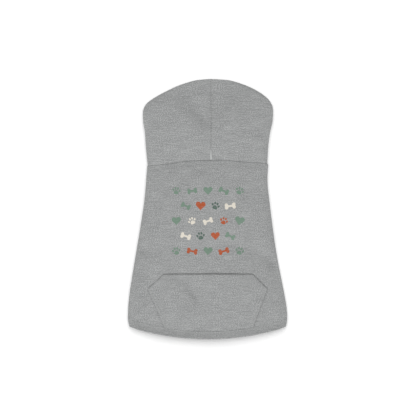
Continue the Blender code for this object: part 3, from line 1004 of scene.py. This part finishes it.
def sewRows(name, rows, trees, fromAbove=True):
    # Every row is a list of plan points. A stitch is a short bent length of thread whose two
    # ends dive into the cloth.
    points, faces = [], []
    for row in rows:
        lengths = [0.0]
        for before, after in zip(row, row[1:]):
            lengths.append(lengths[-1] + math.dist(before, after))
        pitch = stitchSizes["long"] + stitchSizes["gap"]
        count = max(1, int(lengths[-1] / pitch))
        xs, ys = [p[0] for p in row], [p[1] for p in row]
        for k in range(count):
            start = (k + 0.5) / count * lengths[-1] - stitchSizes["long"] / 2
            ring = []
            for share in (0.0, 0.12, 0.35, 0.65, 0.88, 1.0):
                at = start + share * stitchSizes["long"]
                x, y = float(np.interp(at, lengths, xs)), float(np.interp(at, lengths, ys))
                hits = [dropOnto(tree, x, y, fromAbove) for tree in trees]
                hits = [hit for hit in hits if hit[0]]
                if not hits:
                    ring = []
                    break
                pick = max if fromAbove else min
                hit, normal = pick(hits, key=lambda found: found[0].z)
                lift = stitchSizes["radius"] * (1.1 * math.sin(math.pi * share) ** 0.5 - 0.75)
                ring.append((hit + normal * lift, normal))
            if ring:
                addThread(points, faces, ring, stitchSizes["radius"])
    return threadPiece(name, points, faces, greyThread)


def addThread(points, faces, ring, radius):
    sides = stitchSizes["sides"]
    first = len(points)
    ahead = (ring[-1][0] - ring[0][0]).normalized()
    for centre, normal in ring:
        across = ahead.cross(normal).normalized()
        up = across.cross(ahead)
        for k in range(sides):
            angle = 2 * math.pi * k / sides
            flat = across * math.cos(angle) * radius * 1.15
            points.append(centre + flat + up * math.sin(angle) * radius)
    for step in range(len(ring) - 1):
        low = first + step * sides
        for k in range(sides):
            nextK = (k + 1) % sides
            faces.append((low + k, low + nextK, low + sides + nextK, low + sides + k))
    faces.append(tuple(first + k for k in reversed(range(sides))))
    last = first + (len(ring) - 1) * sides
    faces.append(tuple(last + k for k in range(sides)))


def acrossRow(placeAt, low=-0.985, high=0.985, count=90):
    return [placeAt(mix(low, high, k / count)) for k in range(count + 1)]


backTree, pocketTree = treeOf(backCloth), treeOf(pocketCloth)
hoodTrees = [treeOf(hoodLeftCloth), treeOf(hoodRightCloth)]
bellyTree = treeOf(bellyCloth)


def belowNeck(drop):
    def at(across):
        y = neckY(across) - drop
        return across * bodyHalfWidth(drop / bodyLong, across), y

    return at


def aboveHem(rise):
    def at(across):
        along = 1 - rise / (neckY(across) - hemY(across))
        return across * bodyHalfWidth(along, across), hemY(across) + rise

    return at


neckRow = acrossRow(belowNeck(neckStitchDrop))
neckStitches = sewRows("neckTopstitch", [neckRow], [backTree])
hemRows = [acrossRow(aboveHem(rise)) for rise in hemStitches]
hemStitchesAbove = sewRows("hemStitches", hemRows, [backTree])
bellyRises = [rise + garment["bellyRise"] for rise in hemStitches]
belowRows = [acrossRow(aboveHem(rise), -0.93, 0.93) for rise in bellyRises]
hemStitchesBelow = sewRows("bellyHemStitches", belowRows, [backTree, bellyTree], False)


def pocketInset(inset, low, high, side, count=50):
    row = []
    for k in range(count + 1):
        along = mix(low, high, k / count)
        x, y = pocketPlan(side, along)
        row.append((x - side * inset, y))
    return row


pocketRows = []
for side in (-1, 1):
    pocketRows.append(pocketInset(pocketSizes["edgeStitch"], 0.03, 0.99, side))
    pocketRows.append(pocketInset(pocketSizes["innerStitch"], 0.45, 0.985, side))
mouthHalf = pocketSizes["left"][0] * pocketSizes["width"] / 2
mouthXs = [mix(-mouthHalf, mouthHalf, k / 60) for k in range(61)]
pocketRows.append([(x, mouthY - pocketSizes["hemDepth"]) for x in mouthXs])
pocketStitches = sewRows("pocketStitches", pocketRows, [pocketTree])

archFoot = neckY(0.0)
archTop = archFoot + slit["archHeight"] - slit["archHalf"]
archLegs = [mix(archFoot + 0.001, archTop, k / 12) for k in range(13)]
seamX, archHalf = garment["hoodSeamX"], slit["archHalf"]
archRow = [(seamX - archHalf, y) for y in archLegs]
for k in range(1, 24):
    angle = math.pi * (1 - k / 24)
    archRow.append((seamX + archHalf * math.cos(angle), archTop + archHalf * math.sin(angle)))
archRow += [(seamX + archHalf, y) for y in reversed(archLegs)]
archStitches = sewRows("slitFacingStitches", [archRow], hoodTrees)


def turned(x, y, dx, dy, turn):
    sine, cosine = math.sin(turn), math.cos(turn)
    return x + dx * cosine - dy * sine, y + dx * sine + dy * cosine


def ovalOutline(x, y, wide, high, turn=0.0, count=22):
    angles = [2 * math.pi * k / count for k in range(count)]
    return [turned(x, y, wide * math.cos(a), high * math.sin(a), turn) for a in angles]


def faceRow(inset, count=46):
    # A row round the face opening, from the foot of one side to the foot of the other
    left = [facePoint(-1, k / count, inset) for k in range(count + 1)]
    return left + [facePoint(1, k / count, inset) for k in reversed(range(count))]


faceRows = [faceRow(inset) for inset in hemStitches]
faceStitches = sewRows("faceOpeningStitches", faceRows, hoodTrees, False)

legRows = []
for side in (-1, 1):
    across = side * bellyPanel["legSpacing"] / garment["neckWidth"]
    legY = neckYBelow(across) - bellyPanel["legDrop"]
    legX = side * bellyPanel["legSpacing"] / 2
    for inset in bellyPanel["legStitches"]:
        wide, high = bellyPanel["legWidth"] / 2 + inset, bellyPanel["legLength"] / 2 + inset
        outline = ovalOutline(legX, legY, wide, high, count=72)
        legRows.append(outline + outline[:1])
legHoleStitches = sewRows("legHoleStitches", legRows, [bellyTree], False)


def sideSeamRow(side, inset, count=90):
    row = []
    for k in range(count + 1):
        along = mix(0.015, 0.985, k / count)
        half = bodyHalfWidth(along, side)
        x = side * (half - garment["sideSeamInset"] + inset)
        row.append((x, underY(along, x / half)))
    return row


seamRows = [sideSeamRow(side, inset) for side in (-1, 1) for inset in (0.0032, -0.0035)]
throatRow = [(x / 1000, neckYBelow(neckX(x / 1000)) - 0.0052) for x in range(-88, 89, 4)]
seamRows.append(throatRow)
sideSeamStitches = sewRows("sideSeamStitches", seamRows, [backTree, bellyTree], False)
print("stitches sewn")


# The leash slit's lips are bound in pale buttonhole stitches, which all but close it

bindingSizes = {"radius": 0.00030, "count": 36, "over": 0.0004}


def makeBinding(name):
    points, faces = [], []
    for side, tree in zip((-1, 1), hoodTrees):
        for k in range(bindingSizes["count"]):
            y = archFoot + 0.0012 + k * (slit["length"] - 0.001) / bindingSizes["count"]
            up = (y - archFoot) / slit["length"]
            lip = slit["width"] / 2 * math.sqrt(max(0.0, 1 - up**4))
            hit, normal = dropOnto(tree, seamX + side * (lip + 0.0005), y)
            if hit is None:
                continue
            ring = []
            for share in (0.0, 0.15, 0.4, 0.7, 0.9, 1.0):
                x = seamX + side * mix(0.00018, lip + bindingSizes["over"], share)
                drop = 0.0004 * (1 - math.sin(math.pi * share) ** 0.5)
                ring.append((Vector((x, y, hit.z + 0.00015 - drop)), normal))
            addThread(points, faces, ring, bindingSizes["radius"])
    return threadPiece(name, points, faces, paleThread)


buttonhole = makeBinding("slitButtonhole")


# The print: rows of small paws, bones and hearts, screen printed in four inks


def inkMaterial(name, code):
    # Water-based ink drawn into the face of the knit, 0.1 mm: matt, the heather showing through
    base = hexColour(code)
    thin = tuple(mix(c, grey, 0.30) for c, grey in zip(base[:3], hexColour(knit["face"][1])[:3]))
    thick = tuple(c * 0.92 for c in base[:3])
    stops = [(0.34, (*thick, 1.0)), (0.50, base), (0.68, (*thin, 1.0))]
    matt = {"Roughness": 0.8, "Specular_IOR_Level": 0.2, "Sheen_Weight": 0.1}
    return grainyMaterial(name, (160.0, 760.0, 760.0), stops, 0.0002, **matt)


inkColours = {"sage": "#6b8172", "rust": "#a24f2d", "cream": "#cfc9bd", "darkGreen": "#4f6158"}
inks = [inkMaterial(name + "Ink", code) for name, code in inkColours.items()]


def heartOutline(size, count=44):
    outline = []
    for k in range(count):
        angle = 2 * math.pi * k / count
        x = 16 * math.sin(angle) ** 3
        y = 13 * math.cos(angle) - 5 * math.cos(2 * angle) - 2 * math.cos(3 * angle)
        outline.append((x * size / 34, (y - math.cos(4 * angle) + 2.0) * size / 34))
    return outline


def boneOutline(size):
    # A bar with two round knobs at each end, walked once round
    knob, bar, reach = 0.16 * size, 0.09 * size, 0.36 * size
    outline = []
    for turn, (sx, sy) in enumerate([(1, -1), (1, 1), (-1, 1), (-1, -1)]):
        centre = (sx * reach, sy * knob * 0.82)
        first = (-2.35, -0.60, 0.80, 2.55)[turn]
        for k in range(12):
            angle = first + k / 11 * 2.95
            outline.append((centre[0] + knob * math.cos(angle), centre[1] + knob * math.sin(angle)))
        if turn in (1, 3):
            outline.append((sx * reach * 0.45, sy * bar))
            outline.append((-sx * reach * 0.45, sy * bar))
    return outline


def pawOutlines(size):
    pad = []
    for k in range(32):
        angle = 2 * math.pi * k / 32
        reach = 1 + 0.10 * math.cos(3 * (angle - math.pi / 2))
        up = -0.16 * size + 0.2 * size * reach * math.sin(angle)
        pad.append((0.25 * size * reach * math.cos(angle), up))
    toes = [(-0.33, 0.06, 25), (-0.13, 0.27, 8), (0.13, 0.27, -8), (0.33, 0.06, -25)]
    wide, high = 0.095 * size, 0.135 * size
    places = [(x * size, y * size, math.radians(turn)) for x, y, turn in toes]
    return [pad] + [ovalOutline(x, y, wide, high, turn) for x, y, turn in places]


motifs = {
    "paw": pawOutlines,
    "bone": lambda size: [boneOutline(size)],
    "heart": lambda size: [heartOutline(size)],
}
printRows = [
    [("paw", 0), ("bone", 0), ("heart", 0), ("bone", 0), ("paw", 0)],
    [("bone", 0), ("heart", 1), ("paw", 3), ("bone", 2)],
    [("heart", 0), ("paw", 2), ("bone", 2), ("paw", 1), ("heart", 0)],
    [("bone", 2), ("paw", 3), ("heart", 1), ("bone", 0)],
    [("paw", 0), ("bone", 1), ("heart", 0), ("bone", 1), ("paw", 0)],
]
printSizes = {
    "x": 0.001,
    "y": -0.0245,
    "longRow": 0.126,  # first motif to last
    "shortRow": 0.118,
    "high": 0.120,
    "motif": 0.020,
    "lift": 0.00014,
}


def makePrint(name):
    # Every motif is filled, divided finely and laid on the back panel
    bm = bmesh.new()
    source = random.Random(7)
    for r, row in enumerate(printRows):
        rowY = printSizes["y"] + mix(0.5, -0.5, r / (len(printRows) - 1)) * printSizes["high"]
        full = len(row) == len(printRows)
        reach = printSizes["longRow" if full else "shortRow"]
        for c, (kind, ink) in enumerate(row):
            share = c / (len(row) - 1) if full else (c + 0.5) / len(row)
            centreX = printSizes["x"] + mix(-0.5, 0.5, share) * reach
            turn = math.radians(source.uniform(-28, 28))
            size = printSizes["motif"] * source.uniform(0.92, 1.06)
            for outline in motifs[kind](size):
                places = [turned(centreX, rowY, x, y, turn) for x, y in outline]
                verts = [bm.verts.new((*place, 0.0)) for place in places]
                edges = [bm.edges.new((verts[k - 1], verts[k])) for k in range(len(verts))]
                filled = bmesh.ops.triangle_fill(bm, use_beauty=True, edges=edges, normal=(0, 0, 1))
                for face in filled["geom"]:
                    if isinstance(face, bmesh.types.BMFace):
                        face.material_index = ink
    for _ in range(2):
        long = [edge for edge in bm.edges if edge.calc_length() > 0.0022]
        bmesh.ops.subdivide_edges(bm, edges=long, cuts=1, use_grid_fill=True)
    bmesh.ops.triangulate(bm, faces=[face for face in bm.faces if len(face.verts) > 3])
    for vert in bm.verts:
        hit, normal = dropOnto(backTree, vert.co.x, vert.co.y)
        vert.co = hit + normal * printSizes["lift"]
    for face in bm.faces:
        face.smooth = True
        face.normal_update()
        if face.normal.z < 0:
            face.normal_flip()
    mesh = bpy.data.meshes.new(name)
    bm.to_mesh(mesh)
    bm.free()
    return pieceFrom(mesh, inks)


backPrint = makePrint("backPrint")
print("print laid on")


# Floor, light and camera

selectNone()
bpy.ops.mesh.primitive_plane_add(size=6.0, location=(0, 0, -0.0002))
floor = bpy.context.object
floor.name = "floor"
floorMaterial, floorShader = newMaterial("whitePaper", Roughness=0.9, Specular_IOR_Level=0.1)
floorShader.inputs["Base Color"].default_value = hexColour("#f8f8f8")
floor.data.materials.append(floorMaterial)

# Each sun's strength, the width of its disc, its tilt and its turn, in degrees
lighting = {
    "dome": 0.57,
    "softKey": (2.34, 46.0, 25.0, -11.0),  # on the cloth, from the hem and a little from the left
    "tableKey": (2.02, 72.0, -16.0, 0.0),  # on the table, from beyond the hood
}

world = bpy.data.worlds.new("softTent")
bpy.context.scene.world = world
world.use_nodes = True
world.node_tree.nodes["Background"].inputs[0].default_value = (1, 1, 1, 1)
world.node_tree.nodes["Background"].inputs[1].default_value = lighting["dome"]

# Every piece with its slot and the node it stands for
dressed = [
    (backCloth, "body_fleece", "back_panel"),
    (hoodLeftCloth, "hood_fleece", "hood_left"),
    (hoodRightCloth, "hood_fleece", "hood_right"),
    (bellyCloth, "belly_fleece", "belly_panel"),
    (pocketCloth, "pocket_fleece", "pocket"),
    (neckStitches, "body_fleece", None),
    (hemStitchesAbove, "body_fleece", None),
    (hemStitchesBelow, "belly_fleece", None),
    (pocketStitches, "pocket_fleece", None),
    (archStitches, "hood_fleece", None),
    (faceStitches, "hood_fleece", None),
    (legHoleStitches, "belly_fleece", None),
    (sideSeamStitches, "belly_fleece", None),
    (buttonhole, "hood_fleece", None),
    (backPrint, "body_fleece", None),
]

for name, receivers in (("softKey", [row[0] for row in dressed]), ("tableKey", [floor])):
    energy, spread, tilt, turn = lighting[name]
    sun = bpy.data.lights.new(name, "SUN")
    sun.energy = energy
    sun.angle = math.radians(spread)
    lamp = bpy.data.objects.new(name, sun)
    lamp.rotation_euler = (math.radians(tilt), 0, math.radians(turn))
    bpy.context.scene.collection.objects.link(lamp)
    group = bpy.data.collections.new(name + "Receivers")
    for receiver in receivers:
        group.objects.link(receiver)
    lamp.light_linking.receiver_collection = group

view = {
    "millimetresPerPixel": 2.0,
    "pixels": 416,
    "centreX": 0.001,
    "centreY": 0.0015,
    "lens": 200.0,
    "sensor": 36.0,
}
camera = bpy.data.cameras.new("camera")
camera.lens = view["lens"]
camera.sensor_width = view["sensor"]
camera.clip_end = 50
frameWidth = view["millimetresPerPixel"] * view["pixels"] / 1000
cameraObject = bpy.data.objects.new("camera", camera)
cameraHeight = frameWidth * view["lens"] / view["sensor"] + garment["foldHeight"]
cameraObject.location = (view["centreX"], view["centreY"], cameraHeight)
bpy.context.scene.collection.objects.link(cameraObject)
bpy.context.scene.camera = cameraObject
bpy.context.scene.view_settings.view_transform = "Standard"
print("light and camera set")


# What each piece rides on and stands for

for piece, slotName, node in dressed:
    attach(piece, "root")
    if node:
        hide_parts(node)
